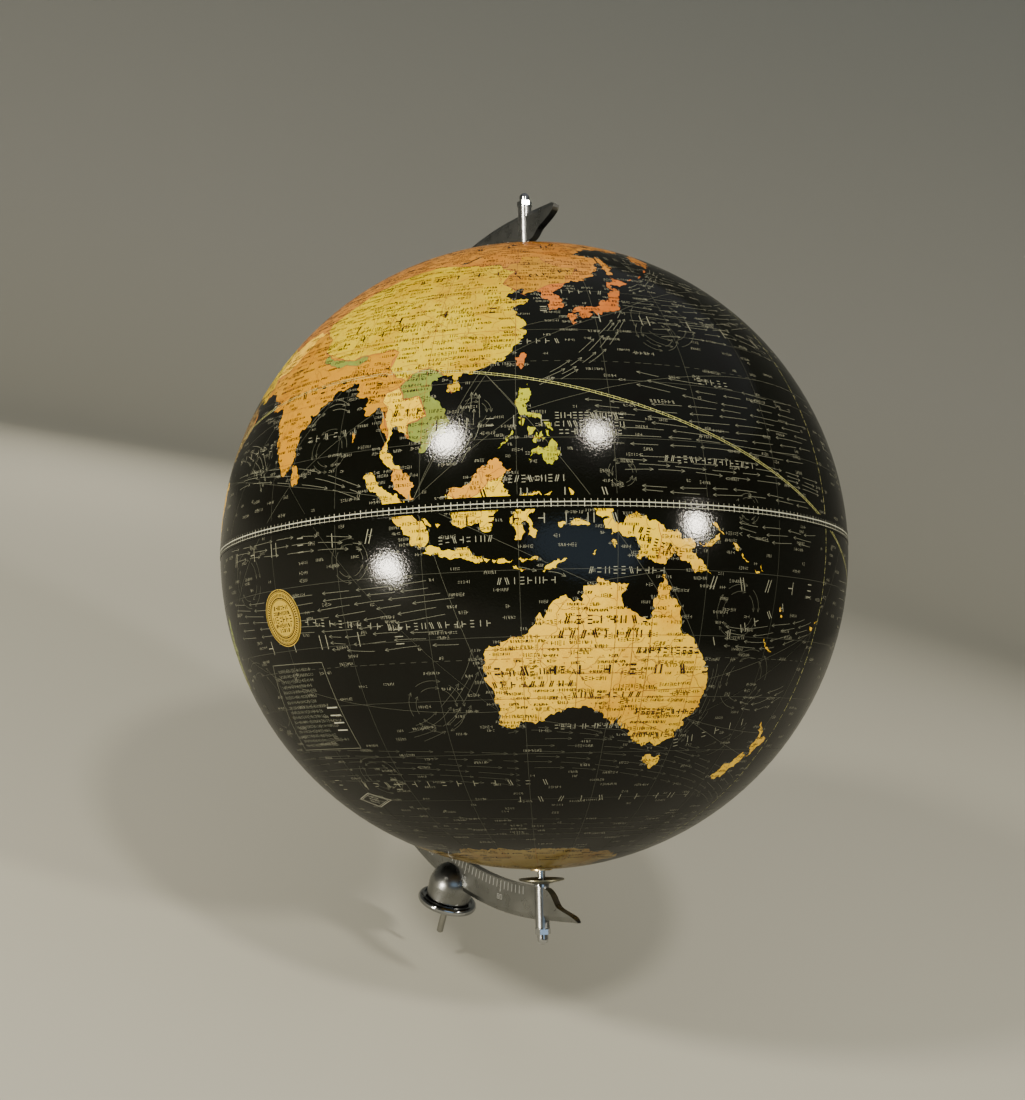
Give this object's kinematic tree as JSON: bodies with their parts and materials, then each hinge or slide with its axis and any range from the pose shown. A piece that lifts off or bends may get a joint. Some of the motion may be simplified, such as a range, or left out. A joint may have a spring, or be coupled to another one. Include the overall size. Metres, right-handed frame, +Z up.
{
  "type": "desk globe",
  "caption": "Terrestrial desk globe with dark oceans on a cast semi-meridian arm; turns on its leaning axle, and the arm swivels on a flanged threaded stud.",
  "frame": {"origin": "centre of the flange ring's underside, on the stud's axis", "axes": "+Z up from the flange through the globe's centre; the arm stands in the XZ plane on the +X side, and the polar axis leans 23.5 degrees from +Z towards +X"},
  "size_m": [0.274, 0.2542, 0.3143],
  "materials": {
    "chrome_plate": "polished",
    "cast_arm": "satin",
    "steel": "satin",
    "dull_steel": "satin",
    "brass": "satin",
    "pressed_board": "matte",
    "pole_wood": "matte",
    "printed_paper": "gloss",
    "south_polar_paper": "gloss",
    "equator_paper": "gloss"
  },
  "bodies": {
    "base": {"base_flange": "chrome_plate", "base_stud": "steel"},
    "meridian": {"meridian_arm": "cast_arm", "grub_screw": "dull_steel", "axle_rod": "steel", "north_cap_nut": "chrome_plate", "south_cap_nut": "chrome_plate", "north_nut_washer": "chrome_plate", "south_nut_washer": "chrome_plate", "north_collar": "chrome_plate", "south_collar": "chrome_plate", "north_dished_washer": "dull_steel", "south_dished_washer": "dull_steel", "north_spacer": "steel", "south_spacer": "steel"},
    "globe": {"north_shell": "pressed_board", "south_shell": "pressed_board", "joining_hoop": "pressed_board", "north_gores": "printed_paper", "south_gores": "printed_paper", "north_calotte": "printed_paper", "south_calotte": "south_polar_paper", "equator_tape": "equator_paper", "north_pole_block": "pole_wood", "south_pole_block": "pole_wood", "north_bush": "brass", "south_bush": "brass"}
  },
  "joints": [
    {"name": "meridian_swivel", "type": "hinge", "parent": "base", "child": "meridian", "pos_m": [0, 0, 0], "axis": [0, 0, 1], "continuous": true},
    {"name": "globe_spin", "type": "hinge", "parent": "meridian", "child": "globe", "pos_m": [0, 0, 0.1575], "axis": [0.3987, 0, 0.9171], "continuous": true}
  ]
}
